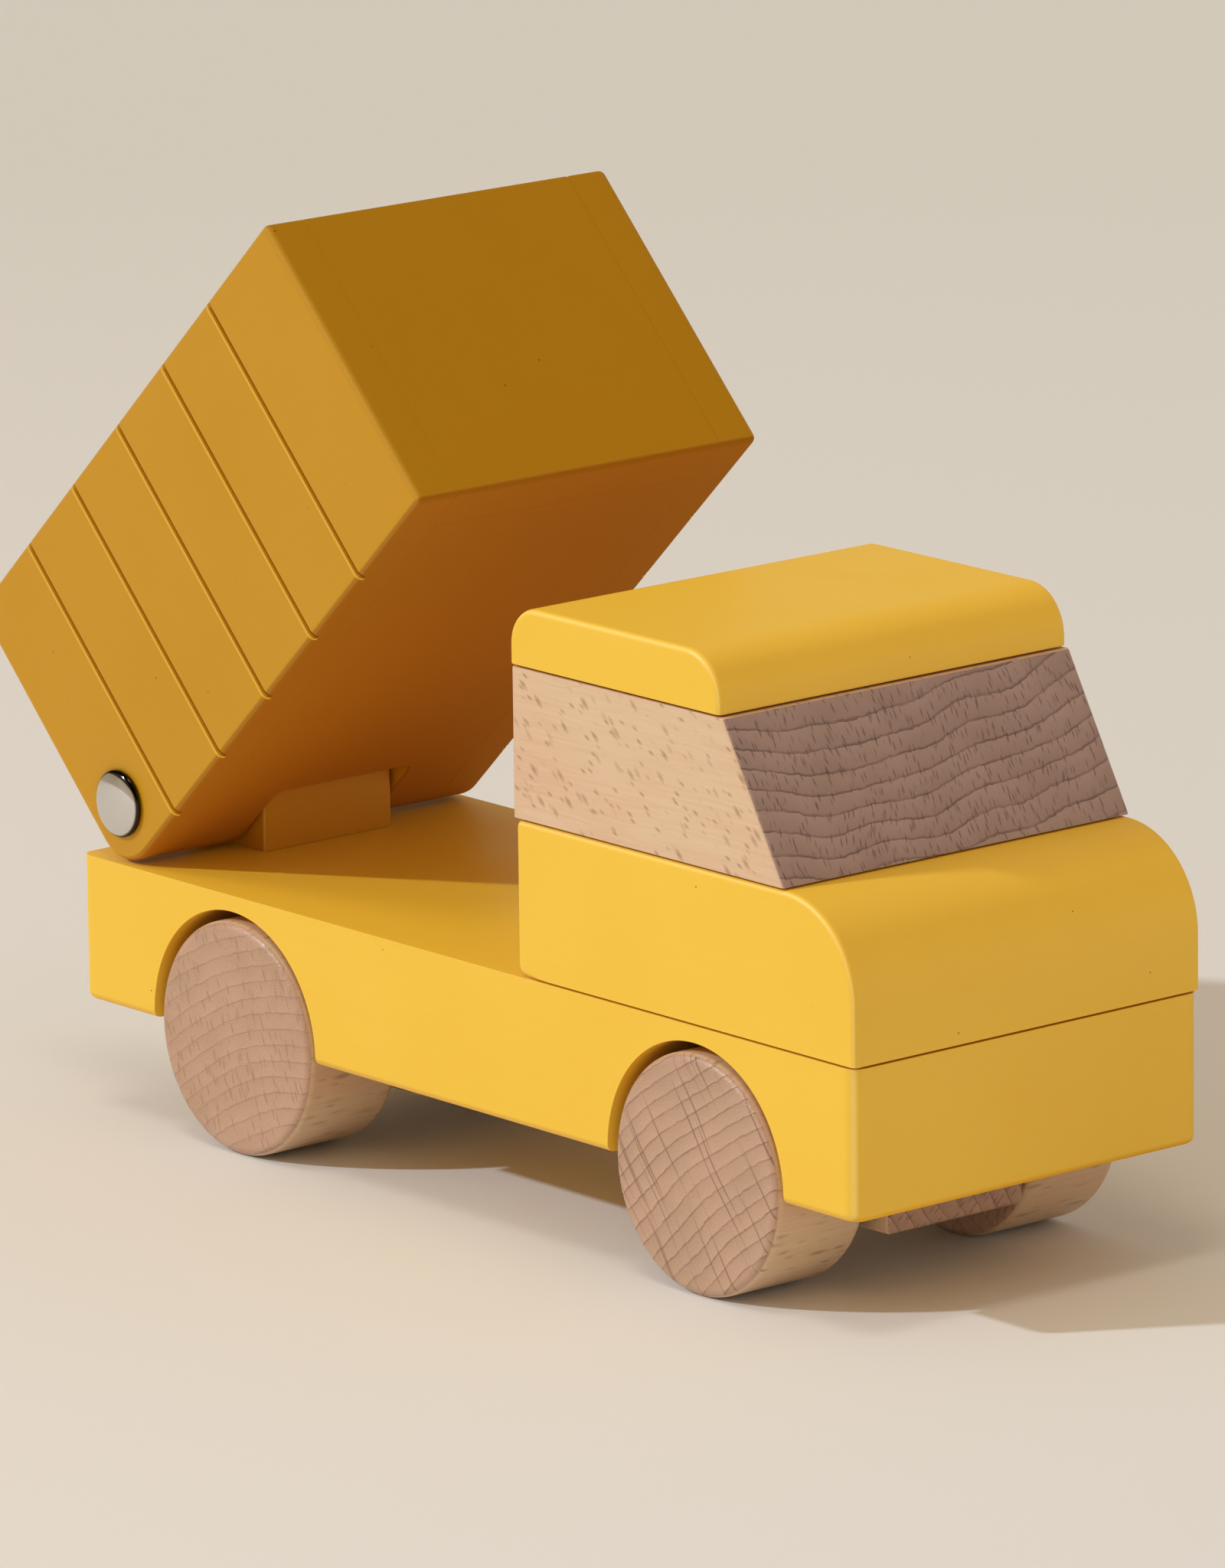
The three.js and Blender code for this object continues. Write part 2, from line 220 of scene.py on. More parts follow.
def screw_holes(screws):
    """Countersink bits from below for the named screws, to be given to cut_away."""
    cutters = []
    for name in screws:
        low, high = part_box(name)
        x, y, z = (low.x + high.x) / 2, (low.y + high.y) / 2, low.z
        foot, top = (x, y, z - SCREW_CLEARANCE), (x, y, z + SCREW_HEAD_HEIGHT)
        head = SCREW_HEAD_RADIUS + SCREW_CLEARANCE
        cutters.append(bit(head, foot, top, end_radius=SCREW_HOLE_RADIUS))
    return cutters


def middle_of(name):
    """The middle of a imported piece's box."""
    low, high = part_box(name)
    return (low + high) / 2


WHEELS = ("rear_left_wheel", "rear_right_wheel", "front_left_wheel", "front_right_wheel")
BLOCK_SCREWS = (
    "rear_block_screw_rear",
    "rear_block_screw_front",
    "front_block_screw_rear",
    "front_block_screw_front",
)
HINGE_SCREWS = ("hinge_screw_left", "hinge_screw_right")

low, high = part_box("chassis")
deck = high.z
chassis = start_block("chassis_slab", low, high)
pick(chassis, "EDGE", edge_along(2))
round_edges(CORNER_EDGE, 5)
pick(chassis, "EDGE", at_level(low.z))
round_edges(FOOT_EDGE, 4)
cutters = []
for name in WHEELS:
    centre = middle_of(name)
    outside = 1 if centre.y > 0 else -1
    z = centre.z + ARCH_LIFT
    inner = (centre.x, outside * (high.y - ARCH_DEPTH), z)
    outer = (centre.x, outside * (high.y + BIT_OVERRUN), z)
    cutters.append(bit(ARCH_RADIUS, inner, outer, 128))
for name in ("rear_axle", "front_axle"):
    centre = middle_of(name)
    reach = Vector((0, high.y, 0))
    cutters.append(bit(AXLE_HOLE_RADIUS, centre - reach, centre + reach))
cut_away(chassis, cutters)
cut_away(chassis, screw_holes(HINGE_SCREWS))
sand(chassis, ARCH_EDGE, 3)


def linear(hex_colour):
    """The linear colour of an sRGB hex value."""
    parts = [int(hex_colour[i : i + 2], 16) / 255 for i in (1, 3, 5)]
    flat = [c / 12.92 if c <= 0.04045 else ((c + 0.055) / 1.055) ** 2.4 for c in parts]
    return (*flat, 1)


def node(material, kind, settings=None, **inputs):
    """Adds a shader node. Settings are its own fields; an input is a value or another's output."""
    tree = material.node_tree
    made = tree.nodes.new("ShaderNode" + kind)
    for field, value in (settings or {}).items():
        if field == "stops":
            ramp = made.color_ramp
            for i, (place, colour) in enumerate(value):
                stop = ramp.elements[i] if i < 2 else ramp.elements.new(place)
                stop.position = place
                stop.color = colour
        else:
            setattr(made, field, value)
    for name, value in inputs.items():
        key = int(name[1:]) if name[0] == "i" and name[1:].isdigit() else name.replace("_", " ")
        socket = made.inputs[key]
        if isinstance(value, bpy.types.NodeSocket):
            tree.links.new(value, socket)
        else:
            socket.default_value = value
    return made


def start_material(name):
    """A material with no nodes yet."""
    material = bpy.data.materials.new(name)
    material.use_nodes = True
    material.node_tree.nodes.clear()
    return material


def finish_material(material, shader):
    """Ends the material with this shader."""
    node(material, "OutputMaterial", Surface=shader.outputs[0])


def dress(piece, material):
    """Gives the piece this one material."""
    piece.data.materials.clear()
    piece.data.materials.append(material)


PAINT = ("#F2C63A", "#E6AE22")
PAINTED_EDGE_HIGHLIGHT = "#FFE48C"
UNDERSIDE_SHADE = "#F0B420"
PAINT_SPECK = "#8A5A1C"
GRAIN_LENGTH = 40 * MM
GRAIN_WIDTH = 1.1 * MM
CLOUD = 30 * MM
ORANGE_PEEL = 1.6 * MM
SPECK_SPACING = 7 * MM
SPECK_SIZE = (0.016, 0.026)  # where a dust nib fades out, as shares of the spacing
UNDERSIDE = (-0.2, -0.55)  # the normals, by their height, over which a face turns underside and takes the painted shade
HIGHLIGHT_FACING = 0.74  # the normal's share sideways at the middle of the painted highlight on an eased edge
HIGHLIGHT_FADE = (0.04, 0.2)


def satin_paint(name, colours, underside_shade, turn=0.0, ior=1.5, edge=0.45):
    """Water-based satin paint, sprayed in two coats on sanded beech. The coat is even, with a faint
    orange peel, the wood's long grain just showing through, and a few dust nibs. A paler line is
    painted along the sides' eased outer edges as a painted highlight, as strong as edge. Faces
    that point down are painted in the darker underside_shade colour as painted shade, and are
    duller."""
    paint = start_material(name)
    source = node(paint, "TexCoord")
    place = source.outputs["Object"]
    facing = node(
        paint,
        "Mapping",
        {"vector_type": "VECTOR"},
        Vector=source.outputs["Normal"],
        Rotation=(0, turn, 0),
    )
    level = node(paint, "SeparateXYZ", Vector=facing.outputs[0])
    under = node(
        paint,
        "MapRange",
        Value=level.outputs[2],
        From_Min=UNDERSIDE[0],
        From_Max=UNDERSIDE[1],
    )
    along = node(paint, "Mapping", Vector=place, Rotation=(0, turn, 0))
    stretched = node(
        paint,
        "Mapping",
        Vector=along.outputs[0],
        Scale=(1 / GRAIN_LENGTH, 1 / GRAIN_WIDTH, 1 / GRAIN_WIDTH),
    )
    grain = node(paint, "TexNoise", Vector=stretched.outputs[0], Scale=1.0, Detail=3.0)
    cloud = node(paint, "TexNoise", Vector=place, Scale=1 / CLOUD, Detail=2.0)
    peel = node(paint, "TexNoise", Vector=place, Scale=1 / ORANGE_PEEL, Detail=1.0)
    nib = node(paint, "TexVoronoi", Vector=place, Scale=1 / SPECK_SPACING)
    nib_edge = node(
        paint,
        "MapRange",
        Value=nib.outputs["Distance"],
        From_Min=SPECK_SIZE[0],
        From_Max=SPECK_SIZE[1],
        To_Min=1.0,
        To_Max=0.0,
    )
    mixed = node(
        paint,
        "Math",
        {"operation": "MULTIPLY_ADD"},
        i0=grain.outputs["Fac"],
        i1=0.35,
        i2=cloud.outputs["Fac"],
    )
    depth = node(paint, "MapRange", Value=mixed.outputs[0], From_Min=0.45, From_Max=0.95)
    coat = node(
        paint,
        "Mix",
        {"data_type": "RGBA"},
        i0=depth.outputs[0],
        i6=linear(colours[0]),
        i7=linear(colours[1]),
    )
    coat_share = node(
        paint,
        "Mix",
        {"data_type": "RGBA"},
        i0=0.82,
        i6=coat.outputs[2],
        i7=linear(colours[0]),
    )
    specked = node(
        paint,
        "Mix",
        {"data_type": "RGBA"},
        i0=nib_edge.outputs[0],
        i6=coat_share.outputs[2],
        i7=linear(PAINT_SPECK),
    )
    # painted shade: faces that point down take the darker underside colour
    shaded_below = node(
        paint,
        "Mix",
        {"data_type": "RGBA"},
        i0=under.outputs[0],
        i6=specked.outputs[2],
        i7=linear(underside_shade),
    )
    # painted highlight: a paler line along the eased edges of faces that look sideways, as strong
    # as edge
    parts = node(paint, "SeparateXYZ", Vector=place)
    side = node(paint, "Math", {"operation": "SIGN"}, i0=parts.outputs[1])
    outward = node(
        paint, "Math", {"operation": "MULTIPLY"}, i0=level.outputs[1], i1=side.outputs[0]
    )
    off_highlight = node(
        paint, "Math", {"operation": "SUBTRACT"}, i0=outward.outputs[0], i1=HIGHLIGHT_FACING
    )
    far_off_highlight = node(paint, "Math", {"operation": "ABSOLUTE"}, i0=off_highlight.outputs[0])
    highlight_share = node(
        paint,
        "MapRange",
        Value=far_off_highlight.outputs[0],
        From_Min=HIGHLIGHT_FADE[0],
        From_Max=HIGHLIGHT_FADE[1],
        To_Min=edge,
        To_Max=0.0,
    )
    highlighted = node(
        paint,
        "Mix",
        {"data_type": "RGBA"},
        i0=highlight_share.outputs[0],
        i6=shaded_below.outputs[2],
        i7=linear(PAINTED_EDGE_HIGHLIGHT),
    )
    rough = node(
        paint,
        "MapRange",
        Value=cloud.outputs["Fac"],
        From_Min=0.3,
        From_Max=0.7,
        To_Min=0.4,
        To_Max=0.5,
    )
    dull = node(paint, "Mix", i0=under.outputs[0], i2=rough.outputs[0], i3=1.0)
    grain_bump = node(
        paint, "Bump", Height=grain.outputs["Fac"], Strength=0.25, Distance=0.06 * MM
    )
    peel_bump = node(
        paint,
        "Bump",
        Height=peel.outputs["Fac"],
        Strength=0.2,
        Distance=0.06 * MM,
        Normal=grain_bump.outputs[0],
    )
    nib_bump = node(
        paint,
        "Bump",
        Height=nib_edge.outputs[0],
        Strength=0.5,
        Distance=0.08 * MM,
        Normal=peel_bump.outputs[0],
    )
    coating = node(
        paint,
        "BsdfPrincipled",
        {"name": "coating"},
        Base_Color=highlighted.outputs[2],
        Roughness=dull.outputs[0],
        IOR=ior,
        Normal=nib_bump.outputs[0],
    )
    finish_material(paint, coating)
    return paint


yellow_paint = satin_paint("satin_yellow_paint_on_beech", PAINT, UNDERSIDE_SHADE)
dress(chassis, yellow_paint)
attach(chassis, "chassis")
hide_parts("chassis")


# Hood block -----------------------------------------------------------------------------------
# The lowest block of the cab, from the same board as the chassis and painted with it. Its top
# front edge is cut to a large quarter round, and it is glued and dowelled to the deck.

HOOD_NOSE_RADIUS = 16 * MM
HOOD_HEEL_RADIUS = 1.8 * MM
CAB_EDGE = 1.0 * MM
JOINT_EDGE = 0.35 * MM
NOSE_STEPS = 24

low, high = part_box("hood_block")
hood = start_block("hood", low, high)
pick(hood, "EDGE", edge_along(1, (0, high.x), (2, high.z)))
round_edges(HOOD_NOSE_RADIUS, NOSE_STEPS)
pick(hood, "EDGE", edge_along(1, (0, low.x), (2, low.z)))
round_edges(HOOD_HEEL_RADIUS, 5)


def ease_rest(piece, skip_levels, width, steps=3):
    """Eases the block's sharp edges, apart from those in its glued joints."""
    limit = math.radians(28)

    def test(edge):
        sharp = edge.is_manifold and edge.calc_face_angle() > limit
        return sharp and not at_level(*skip_levels)(edge)

    pick(piece, "EDGE", test)
    round_edges(width, steps)


ease_rest(hood, [low.z], CAB_EDGE)
leave(hood)
sand(hood, JOINT_EDGE, 2)
dress(hood, yellow_paint)
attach(hood, "chassis")
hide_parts("hood_block")


# Window block ---------------------------------------------------------------------------------
# The cab's middle block, left bare: beech with the grain along the truck, its front face sawn to
# a slant, so that it shows end grain there. Sanded and rubbed with a thin matt oil.

RAW_EDGE = 0.7 * MM
WINDOW_SAND = 0.25 * MM
WINDOW_SLANT = 13.8 * MM  # how far the windscreen's top lies behind its foot

low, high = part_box("window_block")
window = start_block("window", low, high)
pick(window, "VERT", lambda v: v.co.x > high.x - TINY and v.co.z > high.z - TINY)
bpy.ops.transform.translate(value=(-WINDOW_SLANT, 0, 0))
ease_rest(window, [low.z, high.z], RAW_EDGE)
leave(window)
sand(window, WINDOW_SAND, 2)

BEECH = "#DABD99"
BEECH_PINK = "#D8B392"
BEECH_PALE = "#E2CAAB"
BEECH_LINE = "#BE966C"
BEECH_FLECK = "#96704A"
END_GRAIN = "#B08E78"
END_PATCH = "#BE9880"
END_RING = "#6E4A38"
FIBRE = 0.5 * MM
FIBRE_LENGTH = 14 * MM
PORE = 0.35 * MM
PATCH_LENGTH = 35 * MM
PATCH_WIDTH = 9 * MM
SLOW_WAVER = 26 * MM
FINE_WAVER = 1.6 * MM
FINE_SHIFT = 0.7 * MM
LATE_WOOD = (0.84, 0.96)  # the dark end of a year's ring, as shares of its width
RING_BREAK = 6 * MM
RAY_DEPTH = 8 * MM
RAY_FADE = (0.12, 0.28)  # where a ray fades out, as shares of the room it has
FLECK_DEPTH = 1.6 * MM


def beech(
    name,
    turn=(0, 0, 0),
    middle=(0, 0, 0),
    heart=150 * MM,
    ring=3.1 * MM,
    waver=5 * MM,
    tick=(0.6 * MM, 3.4 * MM),
    lean=-0.75,
    fleck_size=(4.2 * MM, 1.6 * MM),
    end_colours=(END_GRAIN, END_PATCH, END_RING),
):
    """Bare beech whose grain runs along X after the turn, cut so far from the tree's heart, which
    lies above the piece's middle. Long faces are pale pinkish brown with fine fibre lines and short
    dark flecks, which are cut rays; end grain is darker and shows the growth rings as wavering
    arcs, a ring apart, with rays as fine ticks across them."""
    wood = start_material(name)
    source = node(wood, "TexCoord")
    shift = Vector((0, 0, -heart)) - Euler(turn).to_matrix() @ Vector(middle)
    place = node(
        wood, "Mapping", Vector=source.outputs["Object"], Rotation=turn, Location=shift
    ).outputs[0]
    facing = node(
        wood,
        "Mapping",
        {"vector_type": "VECTOR"},
        Vector=source.outputs["Normal"],
        Rotation=turn,
    )
    along = node(wood, "SeparateXYZ", Vector=facing.outputs[0])
    steep = node(wood, "Math", {"operation": "ABSOLUTE"}, i0=along.outputs[0])
    is_end = node(
        wood,
        "MapRange",
        {"interpolation_type": "SMOOTHSTEP"},
        Value=steep.outputs[0],
        From_Min=0.5,
        From_Max=0.75,
    ).outputs[0]

    # the rings waver slowly along the block and finely with the cells
    slow = node(wood, "TexNoise", Vector=place, Scale=1 / SLOW_WAVER, Detail=1.0)
    slow_move = node(
        wood,
        "VectorMath",
        {"operation": "MULTIPLY_ADD"},
        i0=slow.outputs["Color"],
        i1=(0, waver, waver),
        i2=place,
    )
    fine = node(wood, "TexNoise", Vector=place, Scale=1 / FINE_WAVER, Detail=2.0)
    fine_move = node(
        wood,
        "VectorMath",
        {"operation": "MULTIPLY_ADD"},
        i0=fine.outputs["Color"],
        i1=(0, FINE_SHIFT, FINE_SHIFT),
        i2=slow_move.outputs[0],
    )
    rings = node(
        wood,
        "TexWave",
        {"wave_type": "RINGS", "rings_direction": "X", "wave_profile": "SAW"},
        Vector=fine_move.outputs[0],
        Scale=math.pi / 10 / ring,
    ).outputs["Fac"]
    late = node(
        wood,
        "MapRange",
        {"interpolation_type": "SMOOTHSTEP"},
        Value=rings,
        From_Min=LATE_WOOD[0],
        From_Max=LATE_WOOD[1],
    )
    patchy = node(wood, "TexNoise", Vector=place, Scale=1 / RING_BREAK, Detail=2.0)
    broken = node(
        wood,
        "MapRange",
        Value=patchy.outputs["Fac"],
        From_Min=0.35,
        From_Max=0.6,
        To_Min=0.45,
        To_Max=1.0,
    )
    ring_line = node(
        wood, "Math", {"operation": "MULTIPLY"}, i0=late.outputs[0], i1=broken.outputs[0]
    ).outputs[0]

    # rays in the end grain: two sets of fine ticks that stand across the rings
    ticks = []
    for tilt, offset in ((0.10, 0.0), (-0.07, 0.37)):
        tick_place = node(
            wood,
            "Mapping",
            Vector=slow_move.outputs[0],
            Rotation=(tilt, 0, 0),
            Location=(offset, offset, offset),
            Scale=(1 / RAY_DEPTH, 1 / tick[0], 1 / tick[1]),
        )
        cell = node(wood, "TexVoronoi", Vector=tick_place.outputs[0], Scale=1.0)
        ticks.append(
            node(
                wood,
                "MapRange",
                Value=cell.outputs["Distance"],
                From_Min=RAY_FADE[0],
                From_Max=RAY_FADE[1],
                To_Min=1.0,
                To_Max=0.0,
            ).outputs[0]
        )
    tick_line = node(
        wood, "Math", {"operation": "MAXIMUM"}, i0=ticks[0], i1=ticks[1]
    ).outputs[0]

    # flecks in the long faces: short spindles, aslant to the grain, some faint and some dark
    flecks = []
    for slant, share, size in ((lean, 1.0, 0.38), (0.6 * lean, 0.65, 0.34)):
        leaning = node(wood, "Mapping", Vector=place, Rotation=(0, slant, 0))
        fleck_place = node(
            wood,
            "Mapping",
            Vector=leaning.outputs[0],
            Scale=(1 / (share * fleck_size[0]), 1 / FLECK_DEPTH, 1 / (share * fleck_size[1])),
        )
        cell = node(wood, "TexVoronoi", Vector=fleck_place.outputs[0], Scale=1.0)
        spindle = node(
            wood,
            "MapRange",
            Value=cell.outputs["Distance"],
            From_Min=0.08,
            From_Max=size,
            To_Min=1.0,
            To_Max=0.0,
        )
        chance = node(wood, "MapRange", Value=cell.outputs["Color"], From_Min=0.35, From_Max=0.8)
        kept = node(
            wood,
            "Math",
            {"operation": "MULTIPLY"},
            i0=spindle.outputs[0],
            i1=chance.outputs[0],
        )
        flecks.append(kept.outputs[0])
    fleck = node(wood, "Math", {"operation": "MAXIMUM"}, i0=flecks[0], i1=flecks[1]).outputs[0]

    # long fibres and slow patches of colour
    fibre_place = node(
        wood, "Mapping", Vector=place, Scale=(1 / FIBRE_LENGTH, 1 / FIBRE, 1 / FIBRE)
    )
    fibre = node(
        wood, "TexNoise", Vector=fibre_place.outputs[0], Scale=1.0, Detail=4.0
    ).outputs["Fac"]
    patch_place = node(
        wood,
        "Mapping",
        Vector=place,
        Scale=(1 / PATCH_LENGTH, 1 / PATCH_WIDTH, 1 / PATCH_WIDTH),
    )
    patch = node(wood, "TexNoise", Vector=patch_place.outputs[0], Scale=1.0, Detail=2.0)
    patch_share = node(
        wood, "MapRange", Value=patch.outputs["Fac"], From_Min=0.35, From_Max=0.68
    ).outputs[0]

    pale = node(wood, "MapRange", Value=fibre, From_Min=0.52, From_Max=0.38).outputs[0]
    dark = node(wood, "MapRange", Value=fibre, From_Min=0.52, From_Max=0.72).outputs[0]
    grain, spot, line = end_colours
    faces = []
    for under, over, coats in (
        (
            BEECH,
            BEECH_PINK,
            (
                (pale, 0.25, BEECH_PALE),
                (dark, 0.12, BEECH_LINE),
                (ring_line, 0.1, BEECH_LINE),
                (fleck, 0.68, BEECH_FLECK),
            ),
        ),
        (grain, spot, ((rings, 0.22, line), (ring_line, 0.6, line), (tick_line, 0.68, line))),
    ):
        tone = node(
            wood,
            "Mix",
            {"data_type": "RGBA"},
            i0=patch_share,
            i6=linear(under),
            i7=linear(over),
        )
        for mark, strength, colour in coats:
            share = node(wood, "Math", {"operation": "MULTIPLY"}, i0=mark, i1=strength)
            tone = node(
                wood,
                "Mix",
                {"data_type": "RGBA"},
                i0=share.outputs[0],
                i6=tone.outputs[2],
                i7=linear(colour),
            )
        faces.append(tone.outputs[2])
    colour = node(
        wood, "Mix", {"data_type": "RGBA"}, i0=is_end, i6=faces[0], i7=faces[1]
    ).outputs[2]
    end_lines = node(wood, "Math", {"operation": "MAXIMUM"}, i0=ring_line, i1=tick_line)
    end_height = node(
        wood, "Math", {"operation": "MULTIPLY"}, i0=end_lines.outputs[0], i1=is_end
    )
    fibre_bump = node(wood, "Bump", Height=fibre, Strength=0.3, Distance=0.06 * MM)
    fleck_bump = node(
        wood,
        "Bump",
        {"invert": True},
        Height=fleck,
        Strength=0.3,
        Distance=0.06 * MM,
        Normal=fibre_bump.outputs[0],
    )
    pores = node(wood, "TexNoise", Vector=place, Scale=1 / PORE, Detail=1.0)
    pore_height = node(
        wood, "Math", {"operation": "MULTIPLY"}, i0=pores.outputs["Fac"], i1=is_end
    )
    pore_bump = node(
        wood,
        "Bump",
        Height=pore_height.outputs[0],
        Strength=0.8,
        Distance=0.12 * MM,
        Normal=fleck_bump.outputs[0],
    )
    end_bump = node(
        wood,
        "Bump",
        {"invert": True},
        Height=end_height.outputs[0],
        Strength=0.35,
        Distance=0.08 * MM,
        Normal=pore_bump.outputs[0],
    )
    rough = node(
        wood,
        "MapRange",
        Value=fibre,
        From_Min=0.3,
        From_Max=0.7,
        To_Min=0.32,
        To_Max=0.46,
    )
    surface = node(
        wood,
        "BsdfPrincipled",
        Base_Color=colour,
        Roughness=rough.outputs[0],
        IOR=1.5,
        Normal=end_bump.outputs[0],
    )
    finish_material(wood, surface)
    return wood


WINDOW_END = ("#A68B82", "#AD928A", "#523830")

window_beech = beech(
    "oiled_beech_window_block",
    middle=(low.x, -4 * MM, low.z),
    heart=190 * MM,
    waver=8 * MM,
    end_colours=WINDOW_END,
)
dress(window, window_beech)
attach(window, "chassis")
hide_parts("window_block")


# Roof board -----------------------------------------------------------------------------------
# A thinner painted board glued on the window block, with its top rear edge and its top front
# edge rounded over.

ROOF_REAR_RADIUS = 6.2 * MM
ROOF_FRONT_RADIUS = 8 * MM

low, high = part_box("roof_board")
roof = start_block("roof", low, high)
pick(roof, "EDGE", edge_along(1, (0, low.x), (2, high.z)))
round_edges(ROOF_REAR_RADIUS, 14)
pick(roof, "EDGE", edge_along(1, (0, high.x), (2, high.z)))
round_edges(ROOF_FRONT_RADIUS, 16)
ease_rest(roof, [low.z], CAB_EDGE)
leave(roof)
sand(roof, JOINT_EDGE, 2)
dress(roof, yellow_paint)
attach(roof, "chassis")
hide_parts("roof_board")


# Cab dowels -----------------------------------------------------------------------------------
# Two turned beech dowels, glued, that run up through the hood and the window block and tie them
# to the chassis. They stay as packed, and show the same wood with the grain upright.

UPRIGHT = (0, math.radians(90), 0)

dowel_beech = beech("beech_dowel", turn=UPRIGHT)
for name in ("cab_dowel_rear", "cab_dowel_front"):
    dress(frame["nodes"][name], dowel_beech)


# Axle blocks ----------------------------------------------------------------------------------
# Bare beech blocks screwed under the chassis across each axle, with a half-round groove on top
# in which the axle turns, and two countersunk screws.

BLOCK_SAND = 0.2 * MM

block_beech = beech("oiled_beech_axle_blocks", turn=(0.9, 0, 0), ring=2.8 * MM)
chassis_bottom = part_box("chassis")[0].z
for end in ("rear", "front"):
    low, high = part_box(end + "_axle_block")
    block = start_block(end + "_block", low, (high.x, high.y, chassis_bottom))
    pick(block, "EDGE", lambda edge: True)
    round_edges(RAW_EDGE, 3)
    centre = middle_of(end + "_axle")
    reach = Vector((0, high.y + BIT_OVERRUN, 0))
    holes = [bit(AXLE_HOLE_RADIUS, centre - reach, centre + reach)]
    holes += screw_holes([s for s in BLOCK_SCREWS if s.startswith(end)])
    cut_away(block, holes)
    sand(block, BLOCK_SAND, 2)
    dress(block, block_beech)
    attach(block, "chassis")
    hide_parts(end + "_axle_block")


# Screws ---------------------------------------------------------------------------------------
# Zinc-plated countersunk wood screws with a cross recess, driven up from below: two in each axle
# block and two that hold the hinge block.

RECESS_WIDTH = 0.9 * MM
RECESS_LENGTH = 3.4 * MM
RECESS_DEPTH = 1.1 * MM
SHANK_RADIUS = 1.5 * MM
POINT_LENGTH = 3 * MM
ZINC_SAND = 0.12 * MM

zinc = start_material("zinc_plated_steel")
zinc_place = node(zinc, "TexCoord").outputs["Object"]
zinc_drawn = node(zinc, "TexNoise", Vector=zinc_place, Scale=1 / (0.4 * MM), Detail=2.0)
zinc_rough = node(zinc, "MapRange", Value=zinc_drawn.outputs["Fac"], To_Min=0.28, To_Max=0.42)
zinc_bump = node(zinc, "Bump", Height=zinc_drawn.outputs["Fac"], Strength=0.15, Distance=0.03 * MM)
finish_material(
    zinc,
    node(
        zinc,
        "BsdfPrincipled",
        Base_Color=linear("#C3C5C6"),
        Metallic=1.0,
        Roughness=zinc_rough.outputs[0],
        Normal=zinc_bump.outputs[0],
    ),
)

for name in BLOCK_SCREWS + HINGE_SCREWS:
    low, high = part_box(name)
    x, y = (low.x + high.x) / 2, (low.y + high.y) / 2
    screw = start_rod(
        name + "_driven",
        SCREW_HEAD_RADIUS,
        (x, y, low.z),
        (x, y, low.z + SCREW_HEAD_HEIGHT),
        48,
        SHANK_RADIUS,
    )
    pick(screw, "FACE", lambda face: face.normal.z > 0.99)
    shank = high.z - low.z - SCREW_HEAD_HEIGHT - POINT_LENGTH
    for length in (shank, POINT_LENGTH):
        bpy.ops.mesh.extrude_region_move(TRANSFORM_OT_translate={"value": (0, 0, length)})
    bpy.ops.transform.resize(value=(0.1, 0.1, 1), center_override=(x, y, high.z))
    leave(screw)
    recess = []
    foot = Vector((x, y, low.z))
    for across in ((RECESS_LENGTH, RECESS_WIDTH), (RECESS_WIDTH, RECESS_LENGTH)):
        half = Vector((across[0] / 2, across[1] / 2, RECESS_DEPTH))
        slot_cutter = start_block("bit", foot - half, foot + half)
        leave(slot_cutter)
        recess.append(slot_cutter)
    cut_away(screw, recess)
    sand(screw, ZINC_SAND, 2)
    dress(screw, zinc)
    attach(screw, "chassis")
    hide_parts(name)


# Wheels and axles -----------------------------------------------------------------------------
# Four turned beech wheels, sawn across the grain so that their faces show end grain, each pushed
# and glued on a steel axle that stays as packed. The rims are eased on the lathe.

WHEEL_EDGE = 1.5 * MM
WHEEL_BORDER = 10 * MM  # the inner face is turned back a little inside this border
WHEEL_STEP = 0.3 * MM
WHEEL_STEP_HEIGHT = 0.2 * MM
QUARTER = math.radians(90)
WHEEL_END = ("#BD9A80", "#C5A086", "#785642")
WHEEL_END_FAINT = ("#BA967B", "#C49E84", "#9C7962")  # a slower grown plank, its rings blurred
LONG_RAY = (0.8 * MM, 40 * MM)
SHORT_RAY = (0.9 * MM, 5 * MM)
WHEEL_WOODS = {
    "rear_left_wheel": (0.7, 90 * MM, LONG_RAY, WHEEL_END),
    "rear_right_wheel": (0.36, -65 * MM, SHORT_RAY, WHEEL_END_FAINT),
    "front_left_wheel": (-0.4, -80 * MM, SHORT_RAY, WHEEL_END_FAINT),
    "front_right_wheel": (0.62, -140 * MM, LONG_RAY, WHEEL_END),
}

for name in WHEELS:
    low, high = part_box(name)
    centre = (low + high) / 2
    radius = (high.z - low.z) / 2
    wheel = start_rod(
        name + "_turned", radius, (centre.x, low.y, centre.z), (centre.x, high.y, centre.z), 128
    )
    outside = 1 if centre.y > 0 else -1
    pick(wheel, "EDGE", lambda edge: edge.calc_face_angle() > 1)
    round_edges(WHEEL_EDGE, 5)
    pick(wheel, "FACE", lambda face: face.normal.y * outside < -0.99)
    bpy.ops.mesh.inset(thickness=WHEEL_BORDER, depth=0)
    bpy.ops.mesh.inset(thickness=WHEEL_STEP, depth=WHEEL_STEP_HEIGHT)
    leave(wheel)
    sand(wheel, 0.1 * MM, 1, 60)
    plank_turn, heart, ray, end_colours = WHEEL_WOODS[name]
    wood = beech(
        "oiled_beech_" + name,
        turn=(0, plank_turn, -QUARTER),
        middle=centre,
        heart=heart,
        ring=2.6 * MM,
        waver=4 * MM,
        tick=ray,
        lean=0.04,
        fleck_size=(7 * MM, 1.5 * MM),
        end_colours=end_colours,
    )
    dress(wheel, wood)
    body = name.split("_")[0] + "_wheelset"
    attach(wheel, body)
    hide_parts(name)

for name in ("rear_axle", "front_axle"):
    dress(frame["nodes"][name], zinc)


